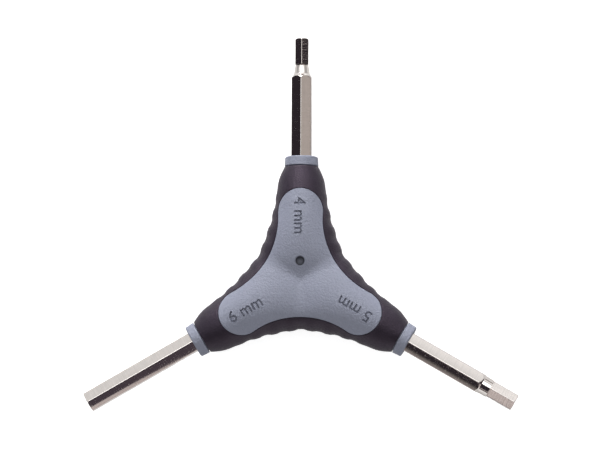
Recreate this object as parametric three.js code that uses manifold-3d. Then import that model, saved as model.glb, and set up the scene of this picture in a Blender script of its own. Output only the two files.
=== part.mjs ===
import * as THREE from 'three';
import * as BufferGeometryUtils from 'three/addons/utils/BufferGeometryUtils.js';
import Module from 'manifold-3d';

// Three-way hex wrench: three plated steel hex shafts of 4, 5 and 6 mm, held in a hard plastic
// core with a ribbed rubber grip moulded over it. Lengths are in millimetres.
// The origin is the point where the three shaft axes cross, at half the handle's thickness.
// +Z points out of the front panel and +Y along the 4 mm shaft.

const wasm = await Module();
wasm.setup();

// Sizes shared by all the pieces
const arm_count = 3;
const fit_gap = 0.3; // clearance between two neighbouring pieces
const overrun = 1; // how far a cutting shape runs past the material

// Steel shafts, all cut from one hexagon bar
const bar_flats = 6; // across the flats
const root_distance = 9; // hub centre to a shaft's hidden end
const end_chamfer = 0.4; // along the shaft, at each working end
const groove_distance = 13; // hub centre to the anchoring groove
const groove_width = 2.4;
const groove_depth = 0.6; // below the bar's flats
const neck_ledge = 0.15; // step from a neck's end to the start of its tip's corners

const small_flats = 4; // tip of the 4 mm shaft
const small_reach = 73.8; // hub centre to the shaft's end
const small_tip_length = 8.45;
const small_neck_length = 2.45;
const small_neck_root_radius = 2.45; // neck next to the bar
const small_neck_tip_radius = 2.05; // neck next to the tip
const small_shoulder_length = 1.4; // cone from the bar's corners down to the neck

const middle_flats = 5; // tip of the 5 mm shaft
const middle_reach = 73.8;
const middle_tip_length = 8.4;
const middle_neck_length = 2.9;
const middle_neck_root_radius = 2.85;
const middle_neck_tip_radius = 2.78;
const middle_shoulder_length = 1.05;

const large_reach = 73.8; // the 6 mm shaft is the bar itself

// In order round the hub, starting from +Y. A roll is how far the top corner leans, in degrees:
// the tips were ground after the bar, so theirs differ.
const shafts = [
  {
    name: 'hex_shaft_4mm',
    roll: -2,
    tip_roll: 0,
    flats: small_flats,
    reach: small_reach,
    tip_length: small_tip_length,
    neck_length: small_neck_length,
    neck_root_radius: small_neck_root_radius,
    neck_tip_radius: small_neck_tip_radius,
    shoulder_length: small_shoulder_length,
  },
  { name: 'hex_shaft_6mm', roll: -1, flats: bar_flats, reach: large_reach },
  {
    name: 'hex_shaft_5mm',
    roll: 3,
    tip_roll: -1,
    flats: middle_flats,
    reach: middle_reach,
    tip_length: middle_tip_length,
    neck_length: middle_neck_length,
    neck_root_radius: middle_neck_root_radius,
    neck_tip_radius: middle_neck_tip_radius,
    shoulder_length: middle_shoulder_length,
  },
];

// Core: the tubes round the shafts and the collars at the arm ends
const tube_wall = 0.65; // plastic outside the bar's corners, under the rubber
const collar_distance = 34.6; // hub centre to a collar's inner face
const collar_length = 2.8;
const collar_lip = 0.05; // how far the collar stands back from the rubber's end
const collar_taper = 0.15; // loss of radius along the collar
const collar_edge = 0.3; // chamfer round the collar's end
const gate_distance = 5.25; // hub centre to the gate recess, along the 4 mm arm
const gate_radius = 1.38;
const gate_depth = 1.5;

// Grip: outline seen from the front
const notch_waist = 15.33; // hub centre to the rubber at the middle of a finger notch
const notch_radius = 44.5; // arc of a finger notch
const notch_run = 18.6; // arc length from the notch's middle to where the arm's barrel starts
const end_rubber = 0.45; // rubber at the arm ends, outside the tube
const barrel_lean = 28; // degrees between the barrel and the arm's axis at the arm end
const barrel_reach = 4.4; // length of the handles of the barrel's curve
const side_rubber = 2.2; // rubber over the core at the notches

// Grip: height of the front above the middle plane
const crown_height = 8;
const crown_distance = 12; // hub centre to where the arms start to slope down
const dish_depth = 3.1; // how far the arms dip towards the hub
const dish_reach = 6.2; // distance along an arm over which they dip
const dish_power = 1.25; // exponent of the dip's curve: 2 is a round hollow, 1 a pointed one
const valley_rounding = 1.6; // height over which the valleys between the arms are rounded
const spine_power = 1.4; // turns the mesh rows from square to the arms into a fan at the hub

// Panel: the part of the core that shows, set in from the grip's outline
const rim_at_waist = 3.78;
const rim_at_lobe = 1.6;
const lobe_distance = 20.4; // hub centre to the centre of a lobe's round end

// Ribs across the finger notches
const rib_count = 3; // on each side of a notch's middle
const rib_pitch = 5.35;
const rib_height = 0.35;
const first_rib = 2.75; // arc length from the notch's middle to the first rib
const rib_start = 0.82; // share of the way across, from an arm's axis, where the ribs begin
const trough_depth = 0.54; // extra hollow at a notch's middle
const trough_width = 4.2;

// Mesh steps
const ribbed_steps = 28; // along half a notch, where the ribs are
const plain_steps = 8;
const barrel_steps = 5;
const section_steps = 7;
const inner_section_steps = 4;
const round_steps = 24;
const arc_steps = 12;

const degree = Math.PI / 180;
const turn = 2 * Math.PI;
const arm_angle = turn / arm_count;
const half_arm_angle = arm_angle / 2;

const bar_radius = cornerRadius(bar_flats);
const tube_radius = bar_radius + fit_gap + tube_wall;
const grip_end_radius = tube_radius + fit_gap + end_rubber;
const grip_end_distance = collar_distance - fit_gap;

function cornerRadius(flats) {
  return flats / 2 / Math.cos(Math.PI / 6);
}

// Turns a closed geometry into a solid that can be cut and joined
function solid(geometry) {
  const bare = geometry.index ? geometry.toNonIndexed() : geometry.clone();
  bare.deleteAttribute('normal');
  bare.deleteAttribute('uv');
  const merged = BufferGeometryUtils.mergeVertices(bare, fit_gap / 1000);
  const mesh = new wasm.Mesh({
    numProp: 3,
    vertProperties: new Float32Array(merged.attributes.position.array),
    triVerts: new Uint32Array(merged.index.array),
  });
  return new wasm.Manifold(mesh);
}

function geometryOf(manifold) {
  const mesh = manifold.getMesh();
  const geometry = new THREE.BufferGeometry();
  geometry.setAttribute('position', new THREE.BufferAttribute(mesh.vertProperties, 3));
  geometry.setIndex(new THREE.BufferAttribute(mesh.triVerts, 1));
  return geometry;
}

// Hexagon bar along +Y with one corner up, from one distance to another
function hexBar(flats, from, to) {
  const radius = cornerRadius(flats);
  const bar = new THREE.CylinderGeometry(radius, radius, to - from, 6);
  bar.translate(0, (from + to) / 2, 0);
  return solid(bar);
}

// Solid of revolution round +Y: pairs of radius and distance, closed on the axis. Half a step
// of turn keeps its facets' edges off the hexagons' corners.
function turned(pairs) {
  const points = pairs.map(([radius, distance]) => new THREE.Vector2(radius, distance));
  return solid(new THREE.LatheGeometry(points, round_steps, turn / round_steps / 2));
}

// The grip's outline is worked out for half an arm, from the arm's end to the middle of the
// notch on its +X side. The notch's arc is centred on the line half way between two arms.
const notch_middle = new THREE.Vector2(Math.sin(half_arm_angle), Math.cos(half_arm_angle));
const notch_centre = notch_middle.clone().multiplyScalar(notch_waist + notch_radius);

// A point of the notch's arc at an arc length from its middle, towards the arm
function notchPoint(arc_length) {
  const angle = arc_length / notch_radius;
  const spoke = notch_middle.clone().rotateAround(new THREE.Vector2(), -angle);
  return notch_centre.clone().addScaledVector(spoke, -notch_radius);
}

// The rest of the half outline: from the arm's end, leaning outwards, into the notch's arc
function barrelCurve() {
  const end = new THREE.Vector2(grip_end_radius, grip_end_distance);
  const start = notchPoint(notch_run);
  const lean = barrel_lean * degree;
  const end_lean = new THREE.Vector2(Math.sin(lean), -Math.cos(lean));
  const spoke = start.clone().sub(notch_centre).normalize();
  const start_lean = new THREE.Vector2(spoke.y, -spoke.x);
  const end_handle = end.clone().addScaledVector(end_lean, barrel_reach);
  const start_handle = start.clone().addScaledVector(start_lean, barrel_reach);
  return new THREE.CubicBezierCurve(end, end_handle, start_handle, start);
}

const barrel = barrelCurve();

// Height of the ribs above the plain outline at an arc length from the notch's middle
function ribHeight(arc_length) {
  const trough = -trough_depth * Math.exp(-((arc_length / trough_width) ** 2));
  const last_rib = first_rib + (rib_count - 1) * rib_pitch;
  if (arc_length > last_rib + rib_pitch / 2) return trough;
  return trough + (rib_height / 2) * (1 + Math.cos((turn * (arc_length - first_rib)) / rib_pitch));
}

// Stations from the arm's end to the notch's middle: each has its point on the outline, the
// outline's outward direction there (square to the arm at its very end) and the ribs' height
function outlineStations(notch_steps) {
  const stations = [];
  for (let i = 0; i < barrel_steps; i++) {
    const share = i / barrel_steps;
    const tangent = barrel.getTangent(share);
    const out = i === 0 ? new THREE.Vector2(1, 0) : new THREE.Vector2(-tangent.y, tangent.x);
    stations.push({ point: barrel.getPoint(share), out, rib: 0 });
  }
  for (let i = 0; i <= notch_steps; i++) {
    const arc_length = notch_run * (1 - i / notch_steps);
    const point = notchPoint(arc_length);
    const out = notch_centre.clone().sub(point).normalize();
    stations.push({ point, out, rib: ribHeight(arc_length) });
  }
  return stations;
}

const waist_height = notchPoint(0).y;

// Share of the way from the height of the notch's middle to the arm's end
function armShare(along) {
  return Math.max(0, (along - waist_height) / (grip_end_distance - waist_height));
}

// Half the handle's thickness over an arm's axis at a distance along it
function frontHeight(distance) {
  const along = THREE.MathUtils.clamp(distance, 0, grip_end_distance);
  const past_crown = Math.max(0, along - crown_distance) / (grip_end_distance - crown_distance);
  const dish = dish_depth * Math.exp(-((along / dish_reach) ** dish_power));
  return crown_height - (crown_height - grip_end_radius) * past_crown ** 2 - dish;
}

// Half a body's width at a distance along an arm: between the side points of its rows, and on
// the notch's arc beyond its middle
function halfWidth(sides, along) {
  const last = sides.at(-1);
  if (along <= last.y) {
    const radius = notch_centre.distanceTo(last);
    return notch_centre.x - Math.sqrt(radius ** 2 - (notch_centre.y - along) ** 2);
  }
  const next = Math.max(1, sides.findIndex((side) => side.y <= along));
  const share = (along - sides[next].y) / (sides[next - 1].y - sides[next].y);
  return THREE.MathUtils.lerp(sides[next].x, sides[next - 1].x, share);
}

// Height of one arm alone, whose sections are ellipses, over a point of the plan
function armHeight(sides, skin, place) {
  const along = Math.max(place.y, -dish_reach);
  const across = Math.min(1, place.x / halfWidth(sides, along));
  return (frontHeight(along) - skin(armShare(along))) * Math.sqrt(1 - across ** 2);
}

// Height of the body: the arm and its neighbour across the notch meet in a rounded valley
function bodyHeight(sides, skin, place) {
  const mirrored = notch_middle.clone().multiplyScalar(2 * notch_middle.dot(place)).sub(place);
  const own = armHeight(sides, skin, place);
  const other = armHeight(sides, skin, mirrored);
  const blend = (valley_rounding * Math.min(own, other)) / crown_height;
  const fill = blend > 0 ? Math.max(0, blend - Math.abs(own - other)) ** 2 / blend / 4 : 0;
  return Math.max(own, other) + fill;
}

// One closed body of the handle's shape. The skin is how far it lies under the rubber's
// surface, as a function of a station's share of the arm, and the tube is how far each arm
// runs on, straight, past the rubber's end.
function handleBody(skin, tube, notch_steps, steps_across, with_ribs = false) {
  const stations = outlineStations(notch_steps);
  const sides = stations.map(({ point, out }) => {
    return point.clone().addScaledVector(out, -skin(armShare(point.y)));
  });
  const rows = stations.map(({ point, out, rib }, i) => {
    const share = armShare(point.y);
    const spine = new THREE.Vector2(0, grip_end_distance * share ** spine_power);
    const row = [];
    for (let j = 0; j <= steps_across; j++) {
      const across = j === steps_across ? 0 : Math.cos((Math.PI / 2) * (j / steps_across));
      const place = spine.clone().lerp(sides[i], across);
      const height = j === 0 ? 0 : bodyHeight(sides, skin, place);
      const lift = with_ribs ? rib * THREE.MathUtils.smoothstep(across, rib_start, 1) : 0;
      place.addScaledVector(out, lift);
      row.push(new THREE.Vector3(place.x, place.y, height));
    }
    return row;
  });
  if (tube > 0) rows.unshift(rows[0].map((place) => place.clone().setY(place.y + tube)));
  const middle = new THREE.Vector3(0, rows[0][0].y, 0);
  const triangles = [];
  const face = (a, b, c) => triangles.push(a, b, c);
  for (let i = 0; i + 1 < rows.length; i++) {
    for (let j = 0; j < steps_across; j++) {
      face(rows[i][j], rows[i][j + 1], rows[i + 1][j]);
      face(rows[i][j + 1], rows[i + 1][j + 1], rows[i + 1][j]);
    }
  }
  for (let j = 0; j < steps_across; j++) face(middle, rows[0][j + 1], rows[0][j]);
  return solid(copiesOf(triangles));
}

// Repeats the triangles of one eighth of an arm on both sides, front and back, and on all arms
function copiesOf(triangles) {
  const positions = [];
  for (let arm = 0; arm < arm_count; arm++) {
    const turned_by = new THREE.Matrix4().makeRotationZ(arm * arm_angle);
    for (const side of [1, -1]) {
      for (const front of [1, -1]) {
        const place = turned_by.clone().scale(new THREE.Vector3(side, 1, front));
        const copy = triangles.map((point) => point.clone().applyMatrix4(place));
        if (side * front < 0) copy.reverse();
        copy.forEach((point) => positions.push(point.x, point.y, point.z));
      }
    }
  }
  const geometry = new THREE.BufferGeometry();
  geometry.setAttribute('position', new THREE.Float32BufferAttribute(positions, 3));
  return geometry;
}

// Half the plain grip's width at a distance along an arm, on the notch's arc
function notchHalfWidth(distance) {
  return notch_centre.x - Math.sqrt(notch_radius ** 2 - (notch_centre.y - distance) ** 2);
}

// Column with the panel's outline: a round lobe on each arm and arcs tangent to the lobes between
function panelColumn(margin) {
  const waist = notch_waist - rim_at_waist;
  const lobe = notchHalfWidth(lobe_distance) - rim_at_lobe;
  const reach = waist ** 2 + lobe_distance ** 2 - lobe_distance * waist - lobe ** 2;
  const arc = reach / (lobe_distance + 2 * lobe - 2 * waist);
  const arc_centre = notch_middle.clone().multiplyScalar(waist + arc);
  const lean = Math.atan2(arc_centre.y - lobe_distance, arc_centre.x);
  const shape = new THREE.Shape();
  for (let arm = 0; arm < arm_count; arm++) {
    const bearing = arm * arm_angle;
    const lobe_centre = new THREE.Vector2(0, lobe_distance).rotateAround(new THREE.Vector2(), bearing);
    const next = arc_centre.clone().rotateAround(new THREE.Vector2(), bearing + arm_angle);
    shape.absarc(lobe_centre.x, lobe_centre.y, lobe + margin, bearing + lean, bearing + Math.PI - lean);
    const from = bearing - lean;
    const to = bearing + arm_angle + lean - Math.PI;
    shape.absarc(next.x, next.y, arc - margin, from, to, true);
  }
  const height = crown_height + overrun;
  const column = new THREE.ExtrudeGeometry(shape, {
    depth: 2 * height,
    bevelEnabled: false,
    curveSegments: arc_steps,
  });
  column.translate(0, 0, -height);
  return solid(column);
}

const turning_radius = 2 * bar_radius; // clear of every hexagon

// Turned envelope of a bar's hidden end: its root and the anchoring groove
function rootProfile(margin) {
  const groove_radius = bar_flats / 2 - groove_depth + margin;
  const groove_start = groove_distance + margin;
  const groove_end = groove_distance + groove_width - margin;
  return [
    [0, root_distance - margin],
    [turning_radius, root_distance - margin],
    [turning_radius, groove_start],
    [groove_radius, groove_start],
    [groove_radius, groove_end],
    [turning_radius, groove_end],
  ];
}

// Turned envelope of a hexagon's working end: a chamfer at 45 degrees that clips its corners
function endProfile(flats, end) {
  const face_radius = cornerRadius(flats) - end_chamfer;
  return [[turning_radius, end - turning_radius + face_radius], [face_radius, end], [0, end]];
}

// The 6 mm shaft is the bar itself
function plainShaft(shaft) {
  const profile = [...rootProfile(0), ...endProfile(shaft.flats, shaft.reach)];
  return hexBar(shaft.flats, root_distance - overrun, shaft.reach + overrun).intersect(turned(profile));
}

// A necked shaft is the bar, turned down past a shoulder cone to its neck, and a smaller tip
// hexagon whose corners start behind a narrow ledge on the neck's end
function neckedShaft(shaft) {
  const neck_end = shaft.reach - shaft.tip_length;
  const neck_start = neck_end - shaft.neck_length;
  const shoulder_slope = shaft.shoulder_length / (bar_radius - shaft.neck_root_radius);
  const bar_profile = [
    ...rootProfile(0),
    [turning_radius, neck_start - shoulder_slope * (turning_radius - shaft.neck_root_radius)],
    [shaft.neck_root_radius, neck_start],
    [shaft.neck_tip_radius, neck_end],
    [0, neck_end],
  ];
  const ledge_radius = shaft.neck_tip_radius - neck_ledge;
  const tip_profile = [
    [0, neck_start],
    [ledge_radius, neck_start],
    [ledge_radius, neck_end],
    [turning_radius, neck_end + turning_radius - ledge_radius],
    ...endProfile(shaft.flats, shaft.reach),
  ];
  const bar = hexBar(bar_flats, root_distance - overrun, neck_end + overrun);
  const tip = hexBar(shaft.flats, neck_start - overrun, shaft.reach + overrun);
  const turned_tip = tip.intersect(turned(tip_profile)).rotate([0, shaft.tip_roll - shaft.roll, 0]);
  return bar.intersect(turned(bar_profile)).add(turned_tip);
}

// The space a bar fills in the core, with the clearance round it, open through the collar
function pocketCutter() {
  const mouth = collar_distance + collar_length + overrun;
  const profile = [...rootProfile(fit_gap), [turning_radius, mouth], [0, mouth]];
  const space = hexBar(bar_flats + 2 * fit_gap, root_distance - overrun, mouth + overrun);
  return space.intersect(turned(profile));
}

// Collar at an arm's end, with the stub that joins it to its tube
function collarSolid() {
  const collar_radius = grip_end_radius - collar_lip;
  const end_radius = collar_radius - collar_taper;
  return turned([
    [0, collar_distance],
    [collar_radius, collar_distance],
    [end_radius, collar_distance + collar_length - collar_edge],
    [end_radius - collar_edge, collar_distance + collar_length],
    [0, collar_distance + collar_length],
  ]);
}

function gateCutter() {
  const bottom = frontHeight(gate_distance) - gate_depth;
  const top = crown_height + overrun;
  const cutter = new THREE.CylinderGeometry(gate_radius, gate_radius, top - bottom, round_steps);
  cutter.rotateX(Math.PI / 2);
  cutter.translate(0, gate_distance, (top + bottom) / 2);
  return solid(cutter);
}

function named(name, geometry, material) {
  const mesh = new THREE.Mesh(geometry, material);
  mesh.name = name;
  return mesh;
}

// Depth of the core under the rubber: the side rubber at the notches, thinner at the arm ends
function rubberOver(share) {
  const end_depth = grip_end_radius - tube_radius;
  return end_depth + (side_rubber - end_depth) * (1 - share) ** 2;
}

function coreSolid() {
  const tube = fit_gap + collar_length / 2;
  const under_rubber = handleBody(rubberOver, tube, plain_steps, inner_section_steps);
  const whole = handleBody(() => 0, 0, plain_steps, section_steps);
  let core = under_rubber.add(whole.intersect(panelColumn(0)));
  shafts.forEach((shaft, arm) => {
    const bearing = (arm * arm_angle) / degree;
    const pocket = pocketCutter().rotate([0, shaft.roll, bearing]);
    core = core.add(collarSolid().rotate([0, 0, bearing])).subtract(pocket);
  });
  return core.subtract(gateCutter());
}

function gripSolid() {
  const outside = handleBody(() => 0, 0, ribbed_steps, section_steps, true);
  const inner_skin = (share) => rubberOver(share) - fit_gap;
  const hollow = handleBody(inner_skin, overrun, plain_steps, inner_section_steps);
  return outside.subtract(hollow).subtract(panelColumn(fit_gap));
}

const wrench = new THREE.Group();

const grey_plastic = new THREE.MeshStandardMaterial({ color: 0x848a9a, roughness: 0.6, metalness: 0 });
const black_rubber = new THREE.MeshStandardMaterial({ color: 0x2c2830, roughness: 0.85, metalness: 0 });

wrench.add(named('handle_core', geometryOf(coreSolid()), grey_plastic));
wrench.add(named('grip_overmould', geometryOf(gripSolid()), black_rubber));

shafts.forEach((shaft, arm) => {
  const steel = new THREE.MeshStandardMaterial({ color: 0xc9c4bf, roughness: 0.22, metalness: 1 });
  const holder = new THREE.Group();
  holder.rotation.z = arm * arm_angle;
  const body = shaft.tip_length ? neckedShaft(shaft) : plainShaft(shaft);
  const mesh = named(shaft.name, geometryOf(body), steel);
  mesh.rotation.y = shaft.roll * degree;
  holder.add(mesh);
  wrench.add(holder);
});

export default wrench;
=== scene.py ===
import math

import bmesh
import bpy
import numpy as np
from mathutils import Matrix, Vector

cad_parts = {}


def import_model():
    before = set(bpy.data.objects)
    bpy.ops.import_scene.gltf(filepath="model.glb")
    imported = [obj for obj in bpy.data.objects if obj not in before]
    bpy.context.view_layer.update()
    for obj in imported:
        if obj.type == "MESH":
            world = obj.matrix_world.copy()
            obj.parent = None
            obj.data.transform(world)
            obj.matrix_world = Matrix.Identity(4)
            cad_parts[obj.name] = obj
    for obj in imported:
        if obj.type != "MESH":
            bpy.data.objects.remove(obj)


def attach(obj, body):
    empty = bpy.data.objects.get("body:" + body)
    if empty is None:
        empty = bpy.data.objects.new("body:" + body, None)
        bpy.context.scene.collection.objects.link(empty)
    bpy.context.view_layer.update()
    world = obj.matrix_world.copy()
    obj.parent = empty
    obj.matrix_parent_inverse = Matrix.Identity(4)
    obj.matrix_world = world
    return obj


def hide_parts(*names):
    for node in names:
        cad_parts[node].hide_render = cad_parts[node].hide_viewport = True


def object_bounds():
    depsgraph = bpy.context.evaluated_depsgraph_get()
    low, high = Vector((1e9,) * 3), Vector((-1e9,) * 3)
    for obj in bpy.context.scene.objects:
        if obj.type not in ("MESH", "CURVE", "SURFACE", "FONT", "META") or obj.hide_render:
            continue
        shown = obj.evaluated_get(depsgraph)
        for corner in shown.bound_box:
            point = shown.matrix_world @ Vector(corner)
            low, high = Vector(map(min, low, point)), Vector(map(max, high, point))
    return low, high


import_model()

# Three-way hex wrench. +Z points out of the front panel, +Y along the 4 mm shaft.
cad_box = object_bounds()
body = "root"
mm = 0.001
degree = math.pi / 180

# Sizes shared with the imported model
arm_count = 3
arm_angle = 2 * math.pi / arm_count
half_arm_angle = arm_angle / 2
fit_gap = 0.3 * mm
bar_flats = 6 * mm
tube_wall = 0.65 * mm
end_rubber = 0.45 * mm
collar_distance = 34.6 * mm
collar_length = 2.8 * mm
collar_lip = 0.05 * mm
collar_taper = 0.15 * mm
gate_distance = 5.25 * mm
gate_radius = 1.38 * mm
gate_depth = 1.5 * mm

notch_waist = 15.33 * mm
notch_radius = 44.5 * mm
notch_run = 18.6 * mm
barrel_lean = 28 * degree
barrel_reach = 4.4 * mm
side_rubber = 2.2 * mm

crown_height = 8 * mm
crown_distance = 12 * mm
dish_depth = 3.1 * mm
dish_reach = 6.2 * mm
dish_power = 1.25
valley_rounding = 1.6 * mm

rim_at_waist = 3.78 * mm
rim_at_lobe = 1.6 * mm
lobe_distance = 20.4 * mm

bar_radius = bar_flats / 2 / math.cos(30 * degree)
tube_radius = bar_radius + fit_gap + tube_wall
grip_end_radius = tube_radius + fit_gap + end_rubber
grip_end_distance = collar_distance - fit_gap

# Mesh steps over a quarter of an arm: columns run round its panel, rows across it
end_columns = 14
lobe_columns = 26
notch_columns = 52
cap_rows = 30
rubber_rows = 22
hidden_rows = 7
fillet_rows = 4
barrel_samples = 120  # of the outline, along the barrel's curve
notch_samples = 400  # of the outline, along half a notch
shoulder_steps = 36  # close together along a shaft, where its flats meet a cone
neck_steps = 24
ledge_steps = 16
chamfer_steps = 14
ring_steps = 48  # round the gate's recess

weld_distance = 0.003 * mm
merge_distance = 0.002 * mm
tiny = 0.001 * mm  # keeps a divisor above zero
cut_overrun = 1 * mm  # how far a cutting shape runs past the material


class Field:
    """A socket of a node tree that plain arithmetic turns into further math nodes."""

    def __init__(self, tree, socket):
        self.tree = tree
        self.socket = socket

    def math(self, operation, *others):
        node = self.tree.nodes.new("ShaderNodeMath")
        node.operation = operation
        for slot, value in zip(node.inputs, (self, *others)):
            if isinstance(value, Field):
                self.tree.links.new(value.socket, slot)
            else:
                slot.default_value = value
        return Field(self.tree, node.outputs[0])

    def __add__(self, other):
        return self.math("ADD", other)

    def __sub__(self, other):
        return self.math("SUBTRACT", other)

    def __mul__(self, other):
        return self.math("MULTIPLY", other)

    def __truediv__(self, other):
        return self.math("DIVIDE", other)


def unit(angle):
    """Direction in the plan at an angle from +Y towards +X."""
    return np.array([math.sin(angle), math.cos(angle)])


notch_middle = unit(half_arm_angle)
notch_centre = notch_middle * (notch_waist + notch_radius)


def notch_points(runs):
    """Points of the finger notch's arc at arc lengths from its middle, towards the +Y arm."""
    angles = half_arm_angle + np.asarray(runs) / notch_radius
    return notch_centre - notch_radius * np.stack([np.sin(angles), np.cos(angles)], axis=-1)


def barrel_points(shares):
    """Points of the curve from the arm's end, leaning outwards, into the notch's arc."""
    end = np.array([grip_end_radius, grip_end_distance])
    start = notch_points(notch_run)
    spoke = (start - notch_centre) / notch_radius
    end_handle = end + barrel_reach * np.array([math.sin(barrel_lean), -math.cos(barrel_lean)])
    start_handle = start + barrel_reach * np.array([spoke[1], -spoke[0]])
    t = np.asarray(shares)[:, None]
    points = (1 - t) ** 3 * end + 3 * (1 - t) ** 2 * t * end_handle
    return points + 3 * (1 - t) * t ** 2 * start_handle + t ** 3 * start


def half_outline():
    """The grip's outline for half an arm, as points and outward directions."""
    barrel = barrel_points(np.linspace(0, 1, barrel_samples, endpoint=False))
    runs = np.linspace(notch_run, 0, notch_samples)
    points = np.concatenate([barrel, notch_points(runs)])
    tangents = np.gradient(points, axis=0)
    out = np.stack([-tangents[:, 1], tangents[:, 0]], axis=-1)
    out /= np.linalg.norm(out, axis=1)[:, None]
    out[0] = (1, 0)
    return points, out


outline_points, outline_out = half_outline()
waist_height = notch_points(0)[1]


def arm_share(along):
    """Share of the way from the height of the notch's middle to the arm's end."""
    return np.maximum(0, (along - waist_height) / (grip_end_distance - waist_height))


def front_height(distance):
    """Half the handle's thickness over an arm's axis at a distance along it."""
    along = np.clip(distance, 0, grip_end_distance)
    past_crown = np.maximum(0, along - crown_distance) / (grip_end_distance - crown_distance)
    dish = dish_depth * np.exp(-((along / dish_reach) ** dish_power))
    return crown_height - (crown_height - grip_end_radius) * past_crown ** 2 - dish


class HandleBody:
    """The handle's shape at a depth under its surface, as a height above the middle plane, over
    points of the half arm between +Y and the middle of the notch on its +X side."""

    def __init__(self, skin):
        self.skin = skin
        depth = skin(arm_share(outline_points[:, 1]))
        self.side = outline_points - outline_out * depth[:, None]
        self.notch_radius = np.linalg.norm(notch_centre - self.side[-1])

    def half_width(self, along):
        """Half the width at a distance along the arm, on the notch's arc beyond its middle."""
        drop = notch_centre[1] - along
        arc = notch_centre[0] - np.sqrt(self.notch_radius ** 2 - drop ** 2)
        side = np.interp(along, self.side[::-1, 1], self.side[::-1, 0])
        return np.where(along <= self.side[-1, 1], arc, side)

    def arm_height(self, points):
        """Height of one arm alone, whose sections are ellipses."""
        along = np.maximum(points[:, 1], -dish_reach)
        across = np.minimum(1, points[:, 0] / self.half_width(along))
        return (front_height(along) - self.skin(arm_share(along))) * np.sqrt(1 - across ** 2)

    def height(self, points):
        """The arm and its neighbour across the notch meet in a rounded valley."""
        mirrored = 2 * (points @ notch_middle)[:, None] * notch_middle - points
        own = self.arm_height(points)
        other = self.arm_height(mirrored)
        blend = np.maximum(valley_rounding * np.minimum(own, other) / crown_height, tiny)
        return np.maximum(own, other) + np.maximum(0, blend - np.abs(own - other)) ** 2 / blend / 4


def rubber_over(share):
    """Depth of the core under the rubber's surface."""
    end_depth = grip_end_radius - tube_radius
    return end_depth + (side_rubber - end_depth) * (1 - share) ** 2


under_facets = 0.005 * mm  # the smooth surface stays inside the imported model's box
outside = HandleBody(lambda share: 0 * share + under_facets)
core_body = HandleBody(rubber_over)


def half_width(distance):
    """Half the grip's width at a distance along an arm, on the notch's arc."""
    drop = notch_centre[1] - distance
    return notch_centre[0] - math.sqrt(notch_radius ** 2 - drop ** 2)


# The panel's outline: a round lobe on each arm, tangent to an arc on each side
panel_waist = notch_waist - rim_at_waist
lobe_radius = half_width(lobe_distance) - rim_at_lobe
panel_square = panel_waist ** 2 + lobe_distance ** 2 - lobe_distance * panel_waist - lobe_radius ** 2
panel_arc = panel_square / (lobe_distance + 2 * lobe_radius - 2 * panel_waist)
panel_arc_centre = notch_middle * (panel_waist + panel_arc)
lobe_centre = np.array([0, lobe_distance])
tangent_spoke = (panel_arc_centre - lobe_centre) / np.linalg.norm(panel_arc_centre - lobe_centre)
tangent_angle = math.atan2(tangent_spoke[0], tangent_spoke[1])


def panel_edge(margin):
    """Half an arm of the panel's outline, grown by a margin, one point for each column."""
    corner_angle = 30 * degree
    first = np.linspace(0, corner_angle, end_columns, endpoint=False)
    second = np.linspace(corner_angle, tangent_angle, lobe_columns, endpoint=False)
    lobe_angles = np.concatenate([first, second])
    spokes = np.stack([np.sin(lobe_angles), np.cos(lobe_angles)], axis=-1)
    lobe = lobe_centre + (lobe_radius + margin) * spokes
    arc_angles = np.linspace(tangent_angle, half_arm_angle, notch_columns + 1)
    spokes = np.stack([np.sin(arc_angles), np.cos(arc_angles)], axis=-1)
    return np.concatenate([lobe, panel_arc_centre - (panel_arc - margin) * spokes])


def side_edge(shape):
    """The outer end of each column: round the arm's end first, then along the grip's outline."""
    sweep = np.linspace(0, math.pi / 2, end_columns, endpoint=False)
    ring = np.stack([shape.side[0][0] * np.sin(sweep), sweep * 0 + grip_end_distance], axis=-1)
    steps = np.linalg.norm(np.diff(shape.side, axis=0), axis=1)
    run = np.concatenate([[0], np.cumsum(steps)])
    offset = shape.side - lobe_centre
    beyond = offset[:, 0] * tangent_spoke[1] - offset[:, 1] * tangent_spoke[0]
    hit = run[np.argmax(beyond > 0)]
    lobe_runs = np.linspace(0, hit, lobe_columns, endpoint=False)
    runs = np.concatenate([lobe_runs, np.linspace(hit, run[-1], notch_columns + 1)])
    side = np.stack([np.interp(runs, run, shape.side[:, axis]) for axis in (0, 1)], axis=-1)
    return np.concatenate([ring, side])


def raised(points, heights):
    return np.column_stack([points, heights])


def rim_rows(shape, inner, count):
    """Rows from the panel's edge out to the arm's end and the middle plane, on a handle shape."""
    side_crowding = 2.6  # exponent that gathers the rows at the grip's side
    outer = side_edge(shape)
    columns = np.arange(len(outer))
    power = np.where(columns < end_columns, 1 + columns / end_columns, side_crowding)
    rows = []
    for step in range(count + 1):
        reach = 1 - (1 - step / count) ** power
        plan = inner + (outer - inner) * reach[:, None]
        rows.append(raised(plan, shape.height(plan)))
    rows[-1][end_columns:, 2] = 0
    sweep = np.linspace(0, math.pi / 2, end_columns, endpoint=False)
    rows[-1][:end_columns, 2] = shape.side[0][0] * np.cos(sweep)
    return rows


def sheet_mesh(name, rows):
    """A mesh of the quads between rows of points."""
    mesh = bmesh.new()
    made = [[mesh.verts.new(point) for point in row] for row in rows]
    for row, next_row in zip(made, made[1:]):
        for a, b, c, d in zip(row, row[1:], next_row[1:], next_row):
            mesh.faces.new((a, b, c, d))
    data = bpy.data.meshes.new(name)
    mesh.to_mesh(data)
    mesh.free()
    return data


def new_object(name, data):
    thing = bpy.data.objects.new(name, data)
    bpy.context.scene.collection.objects.link(thing)
    return thing


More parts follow.
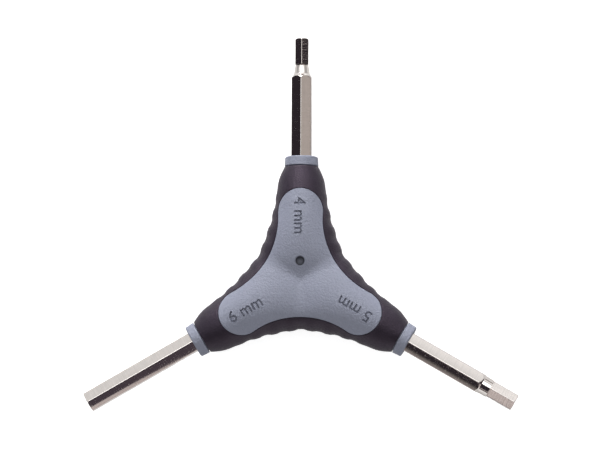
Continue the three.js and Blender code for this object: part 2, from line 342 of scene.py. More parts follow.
def new_tree(name, inputs):
    """A geometry tree with a geometry input and output and named inputs for its sizes."""
    tree = bpy.data.node_groups.new(name, "GeometryNodeTree")
    tree.interface.new_socket("Geometry", in_out="INPUT", socket_type="NodeSocketGeometry")
    tree.interface.new_socket("Geometry", in_out="OUTPUT", socket_type="NodeSocketGeometry")
    for label, kind in inputs.items():
        tree.interface.new_socket(label, in_out="INPUT", socket_type=kind)
    given = tree.nodes.new("NodeGroupInput")
    result = tree.nodes.new("NodeGroupOutput")
    return tree, given, result


def add_node(tree, kind, **settings):
    """Makes a node, sets its properties and fills or links the inputs that are named in links."""
    node = tree.nodes.new(kind)
    links = settings.pop("links", {})
    for key, value in settings.items():
        setattr(node, key, value)
    for slot, value in links.items():
        socket = node.inputs[slot]
        if isinstance(value, Field):
            tree.links.new(value.socket, socket)
        elif isinstance(value, bpy.types.NodeSocket):
            tree.links.new(value, socket)
        else:
            socket.default_value = value
    return node


def apply_tree(thing, tree, values):
    """Runs a geometry tree on an object and keeps the result as the object's plain mesh."""
    modifier = thing.modifiers.new(tree.name, "NODES")
    modifier.node_group = tree
    for item in tree.interface.items_tree:
        if item.in_out == "INPUT" and item.name in values:
            modifier[item.identifier] = values[item.name]
    return keep_modifiers(thing)


def keep_modifiers(thing):
    """Makes what the modifiers show the object's own mesh, and removes them."""
    shown = thing.evaluated_get(bpy.context.evaluated_depsgraph_get())
    data = bpy.data.meshes.new_from_object(shown)
    data.name = thing.name
    thing.modifiers.clear()
    thing.data = data
    return thing


def tidy_normals(thing, sharp_angle):
    """Points the faces outwards, then shades them smooth up to an angle."""
    mesh = bmesh.new()
    mesh.from_mesh(thing.data)
    bmesh.ops.remove_doubles(mesh, verts=mesh.verts, dist=merge_distance)
    bmesh.ops.recalc_face_normals(mesh, faces=mesh.faces)
    mesh.to_mesh(thing.data)
    mesh.free()
    thing.data.shade_smooth()
    thing.data.set_sharp_from_angle(angle=sharp_angle)


def arms_tree():
    """Mirrors a quarter of an arm front to back and side to side and repeats it round the hub."""
    tree, given, result = new_tree("arms_round_the_hub", {
        "Arms": "NodeSocketInt",
        "Weld distance": "NodeSocketFloat",
        "Material": "NodeSocketMaterial",
    })
    shape = given.outputs["Geometry"]
    for flip in ((-1, 1, 1), (1, 1, -1)):
        mirrored = add_node(tree, "GeometryNodeTransform", links={"Geometry": shape, "Scale": flip})
        turned = add_node(tree, "GeometryNodeFlipFaces", links={"Mesh": mirrored.outputs[0]})
        joined = add_node(tree, "GeometryNodeJoinGeometry")
        tree.links.new(shape, joined.inputs[0])
        tree.links.new(turned.outputs[0], joined.inputs[0])
        shape = joined.outputs[0]
    arms = Field(tree, given.outputs["Arms"])
    points = add_node(tree, "GeometryNodePoints", links={"Count": arms})
    index = Field(tree, add_node(tree, "GeometryNodeInputIndex").outputs[0])
    turn = add_node(tree, "ShaderNodeCombineXYZ", links={"Z": index * (2 * math.pi) / arms})
    placed = add_node(tree, "GeometryNodeInstanceOnPoints", links={
        "Points": points.outputs[0],
        "Instance": shape,
        "Rotation": turn.outputs[0],
    })
    real = add_node(tree, "GeometryNodeRealizeInstances", links={"Geometry": placed.outputs[0]})
    welded = add_node(tree, "GeometryNodeMergeByDistance", links={
        "Geometry": real.outputs[0],
        "Distance": given.outputs["Weld distance"],
    })
    finished = add_node(tree, "GeometryNodeSetMaterial", links={
        "Geometry": welded.outputs[0],
        "Material": given.outputs["Material"],
    })
    tree.links.new(finished.outputs[0], result.inputs[0])
    return tree


def repeat_arms(thing, material):
    """Turns a quarter of an arm into the whole handle."""
    values = {"Arms": arm_count, "Weld distance": weld_distance, "Material": material}
    return apply_tree(thing, arms_tree_made, values)


def ribs_tree():
    """Raises ribs across the finger notches, where each point knows its run along the notch."""
    sizes = ("Pitch", "Height", "First rib", "Last rib", "Trough depth", "Trough width")
    tree, given, result = new_tree("finger_ribs", {label: "NodeSocketFloat" for label in sizes})
    pitch, height, first, last, trough_depth, trough_width = (
        Field(tree, given.outputs[label]) for label in sizes
    )
    fields = {}
    for label in ("run", "rib_share"):
        node = add_node(tree, "GeometryNodeInputNamedAttribute", links={"Name": label})
        fields[label] = Field(tree, node.outputs[0])
    run = fields["run"]
    wave = ((run - first) / pitch * (2 * math.pi)).math("COSINE")
    crest = (wave * rib_steepness + 0.5).math("MAXIMUM", 0.0).math("MINIMUM", 1.0)
    fading = ((last + pitch / 2 - run) / pitch).math("MAXIMUM", 0.0).math("MINIMUM", 1.0)
    across = run / trough_width
    trough = (across * across * -1).math("EXPONENT") * trough_depth
    lift = (crest * height * fading - trough) * fields["rib_share"]
    normal = add_node(tree, "GeometryNodeInputNormal")
    offset = add_node(tree, "ShaderNodeVectorMath", operation="SCALE", links={
        0: normal.outputs[0],
        "Scale": lift,
    })
    moved = add_node(tree, "GeometryNodeSetPosition", links={
        "Geometry": given.outputs["Geometry"],
        "Offset": offset.outputs[0],
    })
    tree.links.new(moved.outputs[0], result.inputs[0])
    return tree


def flats_tree():
    """Grinds hexagon flats on a turned shaft that lies along +Y, one corner up: the bar's flats
    up to the tip, then the tip's, which may be turned a little against the bar's."""
    sizes = ("Bar flats", "Tip flats", "Tip start", "Edge rounding", "Crown", "Roll", "Tip turn")
    tree, given, result = new_tree("hexagon_flats", {
        **{label: "NodeSocketFloat" for label in sizes},
        "Material": "NodeSocketMaterial",
    })
    bar, tip, tip_start, rounding, crown, roll, tip_turn = (
        Field(tree, given.outputs[label]) for label in sizes
    )
    place = add_node(tree, "GeometryNodeInputPosition")
    parts = add_node(tree, "ShaderNodeSeparateXYZ", links={0: place.outputs[0]})
    x, y, z = (Field(tree, socket) for socket in parts.outputs)
    radius = (x * x + z * z).math("SQRT").math("MAXIMUM", tiny)
    on_tip = y.math("GREATER_THAN", tip_start)
    angle = x.math("ARCTAN2", z) - tip_turn * on_tip
    closest = None
    for face in range(3):
        facing = (angle + (30 + 60 * face) * degree).math("COSINE").math("ABSOLUTE")
        closest = facing if closest is None else closest.math("SMOOTH_MAX", facing, rounding)
    flats = bar + (tip - bar) * on_tip
    bulge = (closest - 1) * (on_tip * -1 + 1) * crown + 1
    ground = radius.math("MINIMUM", flats / 2 / closest * bulge)
    scale = ground / radius
    kept = add_node(tree, "ShaderNodeCombineXYZ", links={"X": x * scale, "Y": y, "Z": z * scale})
    moved = add_node(tree, "GeometryNodeSetPosition", links={
        "Geometry": given.outputs["Geometry"],
        "Position": kept.outputs[0],
    })
    turn = add_node(tree, "ShaderNodeCombineXYZ", links={"Y": roll})
    rolled = add_node(tree, "GeometryNodeTransform", links={
        "Geometry": moved.outputs[0],
        "Rotation": turn.outputs[0],
    })
    finished = add_node(tree, "GeometryNodeSetMaterial", links={
        "Geometry": rolled.outputs[0],
        "Material": given.outputs["Material"],
    })
    tree.links.new(finished.outputs[0], result.inputs[0])
    return tree


# Finishes
def new_material(name, colour, metallic, roughness, **sockets):
    material = bpy.data.materials.new(name)
    material.use_nodes = True
    shader = material.node_tree.nodes["Principled BSDF"]
    shader.inputs["Base Color"].default_value = (*colour, 1)
    shader.inputs["Metallic"].default_value = metallic
    shader.inputs["Roughness"].default_value = roughness
    for label, value in sockets.items():
        shader.inputs[label.replace("_", " ")].default_value = value
    return material, material.node_tree, shader


def pattern_coordinates(tree, feature, bearing=0.0):
    """Object coordinates turned so that Y runs along an arm, in units of a feature's size."""
    place = add_node(tree, "ShaderNodeTexCoord")
    return add_node(tree, "ShaderNodeMapping", vector_type="TEXTURE", links={
        "Vector": place.outputs["Object"],
        "Rotation": (0, 0, bearing),
        "Scale": feature,
    }).outputs[0]


def noise(tree, feature, bearing=0.0, detail=2.0, roughness=0.5):
    node = add_node(tree, "ShaderNodeTexNoise", links={
        "Vector": pattern_coordinates(tree, feature, bearing),
        "Scale": 1.0,
        "Detail": detail,
        "Roughness": roughness,
    })
    return Field(tree, node.outputs["Fac"])


def spread(tree, field, low, high):
    """A field that is about 0 to 1 brought to a range."""
    node = add_node(tree, "ShaderNodeMapRange", links={"Value": field, "To Min": low, "To Max": high})
    return Field(tree, node.outputs["Result"])


def tinted(tree, colour, shade):
    """A colour made lighter or darker by a field."""
    node = add_node(tree, "ShaderNodeVectorMath", operation="SCALE", links={0: colour, "Scale": shade})
    return node.outputs[0]


def add_bump(tree, shader, height, distance):
    links = {"Height": height, "Distance": distance, "Strength": 1.0}
    node = add_node(tree, "ShaderNodeBump", links=links)
    tree.links.new(node.outputs[0], shader.inputs["Normal"])


def gate_shade(tree):
    """1 on the panels, and less in the gate's recess: painted shade that deepens with depth and towards
    the recess's wall.
    """
    past_wall = 1.04  # square of the distance from the axis, over the radius squared
    dark_share = 0.25  # of the recess's depth, below which the painted shade is at its darkest
    # painted shade on the recess's floor
    floor_painted_shade = 0.35
    wall_painted_shade = 0.5  # further painted shade towards the wall
    surface = float(outside.height(np.array([[0.0, gate_distance]]))[0])
    place = add_node(tree, "ShaderNodeTexCoord")
    from_gate = add_node(tree, "ShaderNodeVectorMath", operation="SUBTRACT", links={
        0: place.outputs["Object"],
        1: (0, gate_distance, surface),
    })
    parts = add_node(tree, "ShaderNodeSeparateXYZ", links={0: from_gate.outputs[0]})
    x, y, z = (Field(tree, socket) for socket in parts.outputs)
    off_axis = (x * x + y * y) / gate_radius ** 2
    inside = off_axis.math("LESS_THAN", past_wall) * z.math("GREATER_THAN", -2 * gate_depth)
    depth = (z * (-1 / dark_share) / gate_depth).math("MAXIMUM", 0.0).math("MINIMUM", 1.0)
    return inside * depth * (off_axis * -wall_painted_shade - floor_painted_shade) + 1


def grained_plastic():
    """Blue-grey moulded plastic with a fine spark-eroded grain."""
    colour = (0.26, 0.275, 0.35)
    material, tree, shader = new_material(
        "grained_grey_plastic", colour, 0.0, 0.55, Specular_IOR_Level=0.35
    )
    coarse = noise(tree, (0.65 * mm,) * 3, detail=3.0, roughness=0.6)
    fine = noise(tree, (0.28 * mm,) * 3, detail=2.0)
    cloud = noise(tree, (7 * mm,) * 3, detail=2.0)
    # the grain's random tone, times painted shade in the gate's recess
    shade = spread(tree, coarse, 0.86, 1.14) * spread(tree, cloud, 0.94, 1.06) * gate_shade(tree)
    tree.links.new(tinted(tree, colour, shade), shader.inputs["Base Color"])
    tree.links.new(spread(tree, fine, 0.42, 0.62).socket, shader.inputs["Roughness"])
    add_bump(tree, shader, coarse * 0.7 + fine * 0.3, 0.32 * mm)
    return material


def moulded_rubber():
    """Soft black rubber with a faint violet tone, matt, with a faint sheen at grazing angles."""
    colour = (0.019, 0.0155, 0.025)
    material, tree, shader = new_material(
        "moulded_black_rubber", colour, 0.0, 0.4, Specular_IOR_Level=0.45, Specular_Tint=(1, 0.8, 1, 1),
        Sheen_Weight=0.04, Sheen_Roughness=0.3, Sheen_Tint=(1, 0.5, 0.95, 1)
    )
    grain = noise(tree, (0.35 * mm,) * 3, detail=3.0)
    dust = noise(tree, (3.5 * mm,) * 3, detail=4.0, roughness=0.6)
    tree.links.new(tinted(tree, colour, spread(tree, dust, 0.65, 1.2)), shader.inputs["Base Color"])
    tree.links.new(spread(tree, dust, 0.36, 0.48).socket, shader.inputs["Roughness"])
    add_bump(tree, shader, grain, 0.14 * mm)
    return material


def plated_steel(name, shaft):
    """Bright plate over flats that were ground across the shaft, coarser on a reduced tip and
    duller on a worn neck."""
    polish = 0.05  # roughness between the specks
    speck_level = 0.85
    speck_wear = 1.2
    band_wear = 0.6
    bearing = shaft["bearing"]
    colour = (0.74, 0.695, 0.665)
    material, tree, shader = new_material(name, colour, 1.0, 0.08)
    lines = noise(tree, (5 * mm, 0.3 * mm, 5 * mm), bearing, detail=3.0, roughness=0.6)
    specks = noise(tree, (0.22 * mm,) * 3, detail=1.0)
    cloud = noise(tree, (1.6 * mm, 3.5 * mm, 1.6 * mm), bearing, detail=3.0)
    shade = spread(tree, lines, 0.9, 1.1) * spread(tree, cloud, 0.94, 1.06)
    tree.links.new(tinted(tree, colour, shade), shader.inputs["Base Color"])
    worn = (specks + lines * 0.5 - speck_level).math("MAXIMUM", 0.0) * speck_wear + polish
    if "tip_length" in shaft:
        place = pattern_coordinates(tree, (1, 1, 1), bearing)
        parts = add_node(tree, "ShaderNodeSeparateXYZ", links={0: place})
        along = Field(tree, parts.outputs["Y"])
        bands = noise(tree, (9 * mm, 0.22 * mm, 9 * mm), bearing, detail=1.0)
        tip_start = shaft["reach"] - shaft["tip_length"]
        on_tip = along.math("GREATER_THAN", tip_start)
        past_shoulder = along.math("GREATER_THAN", tip_start - shaft["neck_length"])
        worn = worn + (bands - 0.5).math("MAXIMUM", 0.0) * on_tip * band_wear
        worn = worn + (past_shoulder - on_tip) * shaft["neck_wear"]
    tree.links.new(worn.socket, shader.inputs["Roughness"])
    add_bump(tree, shader, lines, 0.002 * mm)
    return material


# The grip: rubber over the core, with ribs across the finger notches
rib_count = 4  # on each side of a notch's middle; the last is half as high
rib_pitch = 5.35 * mm
rib_height = 0.33 * mm
first_rib = 2.75 * mm
trough_depth = 0.54 * mm
trough_width = 4.2 * mm
rib_steepness = 0.72  # of the ribs' flanks: 0.5 is a plain wave
rib_rise_share = 0.5  # of the way from the panel to the side, over which the ribs come up
seam_gap = 0.18 * mm
rubber_edge = 0.14 * mm


def rubber_grip():
    rows = rim_rows(outside, panel_edge(seam_gap), rubber_rows)
    data = sheet_mesh("grip_rubber", rows)
    plan = np.concatenate([row[:, :2] for row in rows])
    spokes = plan - notch_centre
    bearing = np.arctan2(-spokes[:, 0], -spokes[:, 1])
    run = (bearing - half_arm_angle) * notch_radius
    step = np.repeat(np.arange(rubber_rows + 1) / rubber_rows, len(rows[0]))
    share = np.clip(step / rib_rise_share, 0, 1)
    rib_share = share ** 2 * (3 - 2 * share)
    for label, values in (("run", np.abs(run)), ("rib_share", rib_share)):
        attribute = data.attributes.new(label, "FLOAT", "POINT")
        attribute.data.foreach_set("value", values.astype(np.float32))
    grip = new_object("grip_rubber", data)
    repeat_arms(grip, rubber)
    apply_tree(grip, ribs_tree(), {
        "Pitch": rib_pitch,
        "Height": rib_height,
        "First rib": first_rib,
        "Last rib": first_rib + (rib_count - 1) * rib_pitch,
        "Trough depth": trough_depth,
        "Trough width": trough_width,
    })
    tidy_normals(grip, 60 * degree)
    wall = grip.modifiers.new("wall", "SOLIDIFY")
    wall.thickness = end_rubber
    wall.offset = -1
    edge = grip.modifiers.new("edge", "BEVEL")
    edge.width = rubber_edge
    edge.segments = 3
    edge.limit_method = "ANGLE"
    edge.angle_limit = 55 * degree
    keep_modifiers(grip)
    tidy_normals(grip, 45 * degree)
    return grip


# The core: the panels, the shoulder under the rubber and the collars
panel_fillet = 0.13 * mm
collar_round = 0.45 * mm


def collar_profile():
    """Distance and radius along a collar, from the tube under the rubber to the end face."""
    radius = grip_end_radius - collar_lip
    end = collar_distance + collar_length
    small = 0.12 * mm
    round_steps = 6
    pairs = [
        (grip_end_distance, tube_radius),
        (collar_distance, tube_radius),
        (collar_distance, radius - small),
        (collar_distance + small / 3, radius - small / 3),
        (collar_distance + small, radius),
        (collar_distance + 1.5 * small, radius),
    ]
    slope = collar_taper / collar_length
    edge_radius = radius - slope * (collar_length - collar_round)
    pairs.append((end - collar_round - small / 2, edge_radius + slope * small / 2))
    for step in range(round_steps + 1):
        angle = step / round_steps * math.pi / 2
        distance = end - collar_round + collar_round * math.sin(angle)
        pairs.append((distance, edge_radius - collar_round * (1 - math.cos(angle))))
    pairs.append((end, tube_radius - tube_wall))
    pairs.append((end, 0.0))
    return pairs


def core_quarter():
    """Rows over a quarter of an arm: the panel's cap, its edge and the shoulder to the side."""
    axis_reach = lobe_distance + 3 * mm
    axis_crowding = 1.2  # exponent that gathers the columns at the arm's end
    inner = panel_edge(-panel_fillet)
    notch_share = np.linspace(0, 1, len(inner)) ** axis_crowding
    axis = np.stack([notch_share * 0, axis_reach * (1 - notch_share)], axis=-1)
    rows = []
    for step in range(cap_rows + 1):
        plan = axis + (inner - axis) * (step / cap_rows)
        rows.append(raised(plan, outside.height(plan)))
    for step in range(1, fillet_rows + 1):
        angle = step / fillet_rows * math.pi / 2
        plan = panel_edge(-panel_fillet * (1 - math.sin(angle)))
        rows.append(raised(plan, outside.height(plan) - panel_fillet * (1 - math.cos(angle))))
    return rows + rim_rows(core_body, panel_edge(0.0), hidden_rows)


def collar_quarter():
    sweep = np.linspace(0, math.pi / 2, end_columns + 1)
    return [
        np.column_stack([radius * np.sin(sweep), sweep * 0 + distance, radius * np.cos(sweep)])
        for distance, radius in collar_profile()
    ]


def joined_mesh(name, *meshes):
    mesh = bmesh.new()
    for data in meshes:
        mesh.from_mesh(data)
    data = bpy.data.meshes.new(name)
    mesh.to_mesh(data)
    mesh.free()
    return data


def moulded_core():
    quarter = joined_mesh(
        "core_quarter",
        sheet_mesh("panel_quarter", core_quarter()),
        sheet_mesh("collar_quarter", collar_quarter()),
    )
    core = new_object("core_plastic", quarter)
    repeat_arms(core, plastic)
    tidy_normals(core, 35 * degree)
    return core


# The shafts, all ground from one hexagon bar
root_distance = 9 * mm
groove_distance = 13 * mm
groove_width = 2.4 * mm
groove_depth = 0.6 * mm
end_chamfer = 0.4 * mm
neck_ledge = 0.15 * mm
shafts = {
    "hex_shaft_4mm": {
        "bearing": 0.0,
        "roll": -2 * degree,
        "tip_roll": 0.0,
        "crown": 0.02,
        "edge_rounding": 0.045,
        "flats": 4 * mm,
        "reach": 73.8 * mm,
        "tip_length": 8.45 * mm,
        "neck_length": 2.45 * mm,
        "neck_root_radius": 2.45 * mm,
        "neck_tip_radius": 2.05 * mm,
        "neck_wear": 0.25,
        "shoulder_length": 1.4 * mm,
    },
    "hex_shaft_6mm": {
        "bearing": arm_angle,
        "roll": -1 * degree,
        "crown": 0.12,
        "edge_rounding": 0.08,
        "flats": bar_flats,
        "reach": 73.8 * mm,
    },
    "hex_shaft_5mm": {
        "bearing": 2 * arm_angle,
        "roll": 3 * degree,
        "tip_roll": -1 * degree,
        "crown": 0.12,
        "edge_rounding": 0.05,
        "flats": 5 * mm,
        "reach": 73.8 * mm,
        "tip_length": 8.4 * mm,
        "neck_length": 2.9 * mm,
        "neck_root_radius": 2.85 * mm,
        "neck_tip_radius": 2.78 * mm,
        "neck_wear": 0.0,
        "shoulder_length": 1.05 * mm,
    },
}


def turned_profile(shaft):
    """Distance and radius of the turned shape that the flats are ground on."""
    stand_out = 1.02  # of the turned shape's radius over the hexagon's corners
    undercut = 0.05 * mm  # where a neck meets its ledge
    rounding = 0.12 * mm  # of the end face's edge
    full = bar_radius * stand_out
    corner = shaft["flats"] / 2 / math.cos(30 * degree)
    tip_full = corner * stand_out
    groove_radius = bar_flats / 2 - groove_depth
    pairs = [
        (root_distance, 0.0),
        (root_distance, full),
        (groove_distance, full),
        (groove_distance, groove_radius),
        (groove_distance + groove_width, groove_radius),
        (groove_distance + groove_width, full),
    ]
    reach = shaft["reach"]
    if "tip_length" in shaft:
        neck_end = reach - shaft["tip_length"]
        neck_start = neck_end - shaft["neck_length"]
        root_radius = shaft["neck_root_radius"]
        tip_radius = shaft["neck_tip_radius"]
        slope = shaft["shoulder_length"] / (bar_radius - root_radius)
        shoulder_start = neck_start - slope * (full - root_radius)
        pairs += fine_line((shoulder_start, full), (neck_start, root_radius), shoulder_steps)
        neck = fine_line((neck_start, root_radius), (neck_end - undercut, tip_radius), neck_steps)
        pairs += neck[1:] + [(neck_end, tip_radius - undercut)]
        ledge = tip_radius - neck_ledge
        pairs += fine_line((neck_end, ledge), (neck_end + tip_full - ledge, tip_full), ledge_steps)
    face_radius = corner - end_chamfer
    start = reach - (tip_full - face_radius)
    chamfer_end = (reach - rounding, face_radius + rounding)
    pairs += fine_line((start, tip_full), chamfer_end, chamfer_steps)
    pairs += [
        (reach - rounding * 0.3, face_radius + rounding * 0.25),
        (reach, face_radius - rounding * 0.6),
        (reach, 0.0),
    ]
    return pairs


def fine_line(start, end, steps):
    """Points from one pair to another, close together, for where flats meet a cone."""
    shares = [step / steps for step in range(steps + 1)]
    return [tuple(a + (b - a) * share for a, b in zip(start, end)) for share in shares]


def shaft_angles():
    """Angles round a shaft, close together at the hexagon's corners."""
    from_corner = [0, 0.8, 1.6, 2.4, 3.2, 4.2, 5.6, 8, 12, 17, 23]
    half = [angle * degree for angle in from_corner] + [30 * degree]
    sector = half + [60 * degree - angle for angle in reversed(half[1:-1])]
    turns = [corner * 60 * degree + angle for corner in range(6) for angle in sector]
    return np.array(turns + [2 * math.pi])


def steel_shaft(name, shaft, material):
    flats_lead = 0.01 * mm  # the tip's flats start just before its ledge
    angles = shaft_angles()
    rows = [
        np.column_stack([radius * np.sin(angles), angles * 0 + distance, radius * np.cos(angles)])
        for distance, radius in turned_profile(shaft)
    ]
    piece = new_object(name + "_steel", sheet_mesh(name + "_steel", rows))
    apply_tree(piece, flats_tree_made, {
        "Bar flats": bar_flats,
        "Tip flats": shaft["flats"],
        "Tip start": shaft["reach"] - shaft.get("tip_length", 0.0) - flats_lead,
        "Edge rounding": shaft["edge_rounding"],
        "Crown": shaft["crown"],
        "Roll": shaft["roll"],
        "Tip turn": shaft.get("tip_roll", 0.0) - shaft["roll"],
        "Material": material,
    })
    piece.data.transform(Matrix.Rotation(shaft["bearing"], 4, "Z"))
    tidy_normals(piece, 30 * degree)
    return piece


def boolean_cut(thing, cutter):
    """Cuts a solid out of a piece, then deletes the cutter."""
    modifier = thing.modifiers.new("cut", "BOOLEAN")
    modifier.operation = "DIFFERENCE"
    modifier.solver = "EXACT"
    modifier.object = cutter
    keep_modifiers(thing)
    bpy.data.objects.remove(cutter)


def hexagon_pocket(shaft):
    """The space that a shaft fills in the core, open through the collar."""
    pocket_gap = 0.12 * mm
    radius = (bar_flats / 2 + pocket_gap) / math.cos(30 * degree)
    mouth = collar_distance + collar_length + 2 * cut_overrun
    length = mouth - root_distance
    mesh = bmesh.new()
    bmesh.ops.create_cone(
        mesh, cap_ends=True, segments=6, radius1=radius, radius2=radius, depth=length
    )
    data = bpy.data.meshes.new("pocket")
    mesh.to_mesh(data)
    mesh.free()
    data.transform(Matrix.Rotation(-90 * degree, 4, "X"))
    data.transform(Matrix.Translation((0, (mouth + root_distance) / 2, 0)))
    data.transform(Matrix.Rotation(shaft["roll"], 4, "Y"))
    data.transform(Matrix.Rotation(shaft["bearing"], 4, "Z"))
    return new_object("pocket", data)


def gate_cutter():
    """Round recess left by the mould's gate, with a slightly dished floor."""
    easing = 0.2 * mm  # height over which the floor's and the mouth's edges are softened
    lip = 0.05 * mm
    flare = 0.5 * mm
    centre = np.array([[0.0, gate_distance]])
    surface = float(outside.height(centre)[0])
    mesh = bmesh.new()
    ring_radii = [
        (surface - gate_depth, 0.7 * gate_radius),
        (surface - gate_depth + easing, 0.9 * gate_radius),
        (surface - easing, 0.97 * gate_radius),
        (surface - lip, gate_radius),
        (surface + cut_overrun, gate_radius + flare),
    ]
    rings = []
    for height, radius in ring_radii:
        ring = []
        for step in range(ring_steps):
            angle = step / ring_steps * 2 * math.pi
            x = radius * math.cos(angle)
            y = gate_distance + radius * math.sin(angle)
            ring.append(mesh.verts.new((x, y, height)))
        rings.append(ring)
    for ring, above in zip(rings, rings[1:]):
        for step in range(ring_steps):
            after = (step + 1) % ring_steps
            mesh.faces.new((ring[step], ring[after], above[after], above[step]))
    mesh.faces.new(list(reversed(rings[0])))
    mesh.faces.new(rings[-1])
    data = bpy.data.meshes.new("gate")
    mesh.to_mesh(data)
    mesh.free()
    return new_object("gate", data)


# Size marks: a plain size along each lobe of the front panel, read towards the hub
mark_distance = 18.8 * mm
mark_height = 3.4 * mm
mark_depth = 0.6 * mm
mark_growth = 0.05 * mm  # on each side of a stroke
mark_clearance = 0.6 * mm  # how far a mark's cutter stands above the panel
capital_share = 0.7  # of the font's size that its capitals fill
letter_weld = 0.02 * mm
letter_sliver = 0.002 * mm


def lobe_height(x, y):
    """Height of the front over one arm, on either side of its axis."""
    return outside.height(np.array([[abs(x), y]]))[0]


def embolden(mesh):
    """Moves the edges of a flat shape outwards, so that its strokes grow."""
    pushes = {}
    for edge in mesh.edges:
        if edge.is_boundary:
            loop = edge.link_loops[0]
            ends = (loop.vert, loop.link_loop_next.vert)
            out = (ends[1].co - ends[0].co).cross(Vector((0, 0, 1))).normalized()
            for v in ends:
                pushes.setdefault(v, []).append(out)
    for v, (first, second) in pushes.items():
        v.co += (first + second) * (mark_growth / (1 + first.dot(second)))


def engraving_solid(name, flat):
    """Turns a flat mesh into a cutter that follows the panel's surface to an even depth."""
    mesh = bmesh.new()
    mesh.from_mesh(flat)
    bmesh.ops.remove_doubles(mesh, verts=mesh.verts, dist=letter_weld)
    bmesh.ops.dissolve_degenerate(mesh, dist=letter_sliver, edges=mesh.edges)
    embolden(mesh)
    grown = bmesh.ops.extrude_face_region(mesh, geom=mesh.faces[:])
    raised_points = {v for v in grown["geom"] if isinstance(v, bmesh.types.BMVert)}
    for v in mesh.verts:
        surface = lobe_height(v.co.x, v.co.y)
        v.co.z = surface + (mark_clearance if v in raised_points else -mark_depth)
    bmesh.ops.recalc_face_normals(mesh, faces=mesh.faces)
    data = bpy.data.meshes.new(name)
    mesh.to_mesh(data)
    mesh.free()
    return data


def mark_flat(words):
    """The flat shape of a mark over an arm, centred on its place and read towards the hub."""
    curve = bpy.data.curves.new("mark", "FONT")
    curve.body = words
    curve.size = mark_height / capital_share
    curve.resolution_u = 6
    letters = new_object("mark", curve)
    bpy.context.view_layer.update()
    shown = letters.evaluated_get(bpy.context.evaluated_depsgraph_get())
    data = bpy.data.meshes.new_from_object(shown)
    bpy.data.objects.remove(letters)
    corners = np.array([v.co[:2] for v in data.vertices])
    middle = (corners.min(0) + corners.max(0)) / 2
    data.transform(Matrix.Translation((-middle[0], -middle[1], 0)))
    data.transform(Matrix.Rotation(-90 * degree, 4, "Z"))
    data.transform(Matrix.Translation((0, mark_distance, 0)))
    return data


def engrave(core):
    for shaft in shafts.values():
        words = str(round(shaft["flats"] / mm)) + " mm"
        data = engraving_solid("mark", mark_flat(words))
        data.transform(Matrix.Rotation(shaft["bearing"], 4, "Z"))
        boolean_cut(core, new_object("mark", data))


def give_material(thing, material):
    """One material on all the faces, those that a cut left too."""
    thing.data.materials.clear()
    thing.data.materials.append(material)


# Making the pieces
plastic = grained_plastic()
rubber = moulded_rubber()
arms_tree_made = arms_tree()
flats_tree_made = flats_tree()

grip = rubber_grip()
core = moulded_core()
for shaft in shafts.values():
    boolean_cut(core, hexagon_pocket(shaft))
boolean_cut(core, gate_cutter())
engrave(core)
give_material(core, plastic)
tidy_normals(core, 35 * degree)

pieces = [(core, "handle_core", "grey_plastic"), (grip, "grip_overmould", "black_rubber")]
for name, shaft in shafts.items():
    steel = plated_steel(name + "_plate", shaft)
    pieces.append((steel_shaft(name, shaft, steel), name, "plated_steel"))

for piece, node, slot in pieces:
    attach(piece, body)
    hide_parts(node)


# Stage: floor, world, lamps, and the cards that the steel mirrors
def seen_rays(tree, mirrored=1.0):
    """1 for rays that show a background straight to the camera or through glass, and a share of 1
    for those that show it mirrored."""
    path = add_node(tree, "ShaderNodeLightPath")
    camera = Field(tree, path.outputs["Is Camera Ray"])
    glossy = Field(tree, path.outputs["Is Glossy Ray"]) * mirrored
    through = Field(tree, path.outputs["Is Transmission Ray"])
    return camera.math("MAXIMUM", glossy).math("MAXIMUM", through)


def floor():
    half = 0.8
    gap_below = 0.05 * mm
    white_lift = 0.75  # brings the lit floor to white where a background is seen
    mesh = bmesh.new()
    bmesh.ops.create_grid(mesh, x_segments=1, y_segments=1, size=half)
    data = bpy.data.meshes.new("floor")
    mesh.to_mesh(data)
    mesh.free()
    data.transform(Matrix.Translation((0, 0, cad_box[0].z - gap_below)))
    thing = new_object("floor", data)
    material, tree, shader = new_material("white_floor", (0.75, 0.75, 0.75), 0.0, 0.9)
    shader.inputs["Specular IOR Level"].default_value = 0.0
    shader.inputs["Emission Color"].default_value = (1, 1, 1, 1)
    lift = seen_rays(tree, mirrored=0.2) * white_lift
    tree.links.new(lift.socket, shader.inputs["Emission Strength"])
    data.materials.append(material)


def world():
    made = bpy.data.worlds.new("studio")
    bpy.context.scene.world = made
    made.use_nodes = True
    tree = made.node_tree
    fill = 0.58
    seen = seen_rays(tree)
    tree.links.new((seen * (1 - fill) + fill).socket, tree.nodes["Background"].inputs["Strength"])
    tree.nodes["Background"].inputs["Color"].default_value = (1, 1, 1, 1)


def towards(bearing, elevation, distance):
    """A place seen from the hub at a bearing from +X and a height above the floor's plane."""
    level = math.cos(elevation) * distance
    return Vector((level * math.cos(bearing), level * math.sin(bearing), math.sin(elevation) * distance))


def softbox(name, place, size, power):
    lamp = bpy.data.lights.new(name, "AREA")
    lamp.shape = "RECTANGLE"
    lamp.size, lamp.size_y = size
    lamp.energy = power
    thing = new_object(name, lamp)
    thing.location = place
    thing.rotation_euler = (-place).to_track_quat("-Z", "Y").to_euler()
    return thing


card_columns = 25
card_rows = 9


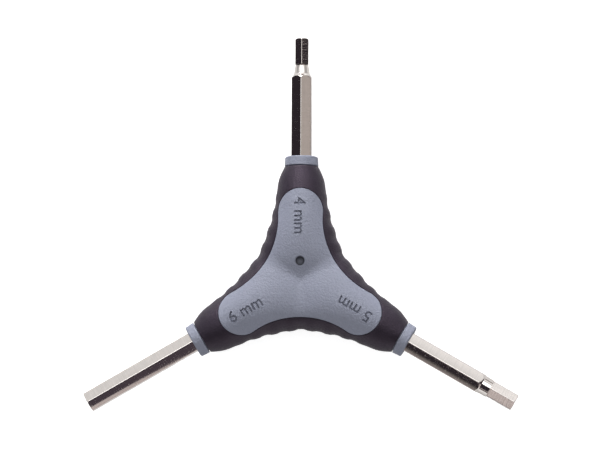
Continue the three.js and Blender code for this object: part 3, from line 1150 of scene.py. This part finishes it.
def card(name, bearings, lower, upper, tones, tint=(1, 1, 1)):
    """A curved card round the tool that only mirrored rays meet. Its bearings and edges are in
    degrees. Its lower and upper edges are elevations, each one for the whole card or one for each
    of the bearings, and its tone runs evenly from the lower edge to the upper one."""
    distance = 3
    heights = np.linspace(0, 1, card_rows)
    turns = np.union1d(np.linspace(bearings[0], bearings[-1], card_columns), bearings)
    low, high = (
        np.interp(turns, bearings, np.broadcast_to(edge, len(bearings))) for edge in (lower, upper)
    )
    rows = []
    for share in heights:
        places = zip(turns * degree, (low + (high - low) * share) * degree)
        rows.append([towards(turn, height, distance) for turn, height in places])
    thing = new_object(name, sheet_mesh(name, rows))
    shares = np.repeat(heights, len(turns))
    attribute = thing.data.attributes.new("share", "FLOAT", "POINT")
    attribute.data.foreach_set("value", shares.astype(np.float32))
    material = bpy.data.materials.new(name)
    material.use_nodes = True
    tree = material.node_tree
    tree.nodes.clear()
    height_share = add_node(tree, "ShaderNodeAttribute", attribute_name="share")
    tone = spread(tree, Field(tree, height_share.outputs["Fac"]), *tones)
    light = add_node(tree, "ShaderNodeEmission", links={"Color": (*tint, 1), "Strength": tone})
    output = add_node(tree, "ShaderNodeOutputMaterial")
    tree.links.new(light.outputs[0], output.inputs["Surface"])
    thing.data.materials.append(material)
    for kind in ("camera", "diffuse", "transmission", "volume_scatter", "shadow"):
        setattr(thing, "visible_" + kind, False)


def cards():
    black = (1, 0.8, 1)
    warm = (1, 0.91, 0.86)
    beige = (1, 0.9, 0.88)
    dark = (0.03, 0.03)
    card("bright_above", (30, 150), 52, 90, (3, 3))
    card("black_above", (150, 390), 52, 90, dark, black)
    card("white_behind_left", (90, 148), 8, 52, (0.85, 0.85))
    card("white_behind_right", (32, 90), 22, 52, (1.15, 0.7))
    card("grey_behind_right", (32, 90), 5, 22, (0.35, 0.4), beige)
    card("grey_right", (-28, 32), 34, 52, (0.515, 0.515), warm)
    card("black_right", (-28, 32), 5, 34, dark, black)
    card("black_left", (148, 215), 5, 52, dark, black)
    card("grading_front_left", (215, 262), 18, 27, (0.5, 0.03), beige)
    card("black_front_left", (215, 262), 27, 33.8, dark, black)
    card("grey_front_left", (215, 262), 33.8, 39, (0.7, 0.7), beige)
    card("black_over_front_left", (215, 262), 39, 52, dark, black)
    turns = (262, 293.7, 296, 332)
    edges = (36, 32.3, 29, 29)
    card("grey_front_right", turns, 12, edges, (0.6, 0.6), beige)
    card("black_front_right", turns, edges, 52, (0.07, 0.07), black)


def camera():
    """Nearly straight above the tool, a little to its front and right, framed as the photograph,
    whose hub is at a known pixel."""
    frame_width, frame_height = 600, 450
    hub_pixel = (301.1, 280.6)
    pixels_per_metre = 3320
    picture_turn = 0.24 * degree
    distance = 0.8
    lean = Vector((0.055, -0.1, 1)).normalized()
    data = bpy.data.cameras.new("camera")
    data.sensor_width = 36
    data.lens = pixels_per_metre * distance / frame_width * data.sensor_width
    thing = new_object("camera", data)
    thing.location = lean * distance
    right = (frame_width / 2 - hub_pixel[0]) / pixels_per_metre
    up = (hub_pixel[1] - frame_height / 2) / pixels_per_metre
    aim = Matrix.Rotation(picture_turn, 3, "Z") @ Vector((right, up, 0))
    sight = (aim - thing.location).normalized()
    picture_up = Matrix.Rotation(picture_turn, 3, "Z") @ Vector((0, 1, 0))
    side = sight.cross(picture_up).normalized()
    axes = Matrix((side, side.cross(sight), -sight)).transposed()
    thing.rotation_euler = axes.to_euler()
    bpy.context.scene.camera = thing


floor()
world()
cards()
softbox("key", towards(98 * degree, 18 * degree, 0.75), (0.35, 0.18), 6.1)
camera()
bpy.context.scene.view_settings.view_transform = "Standard"
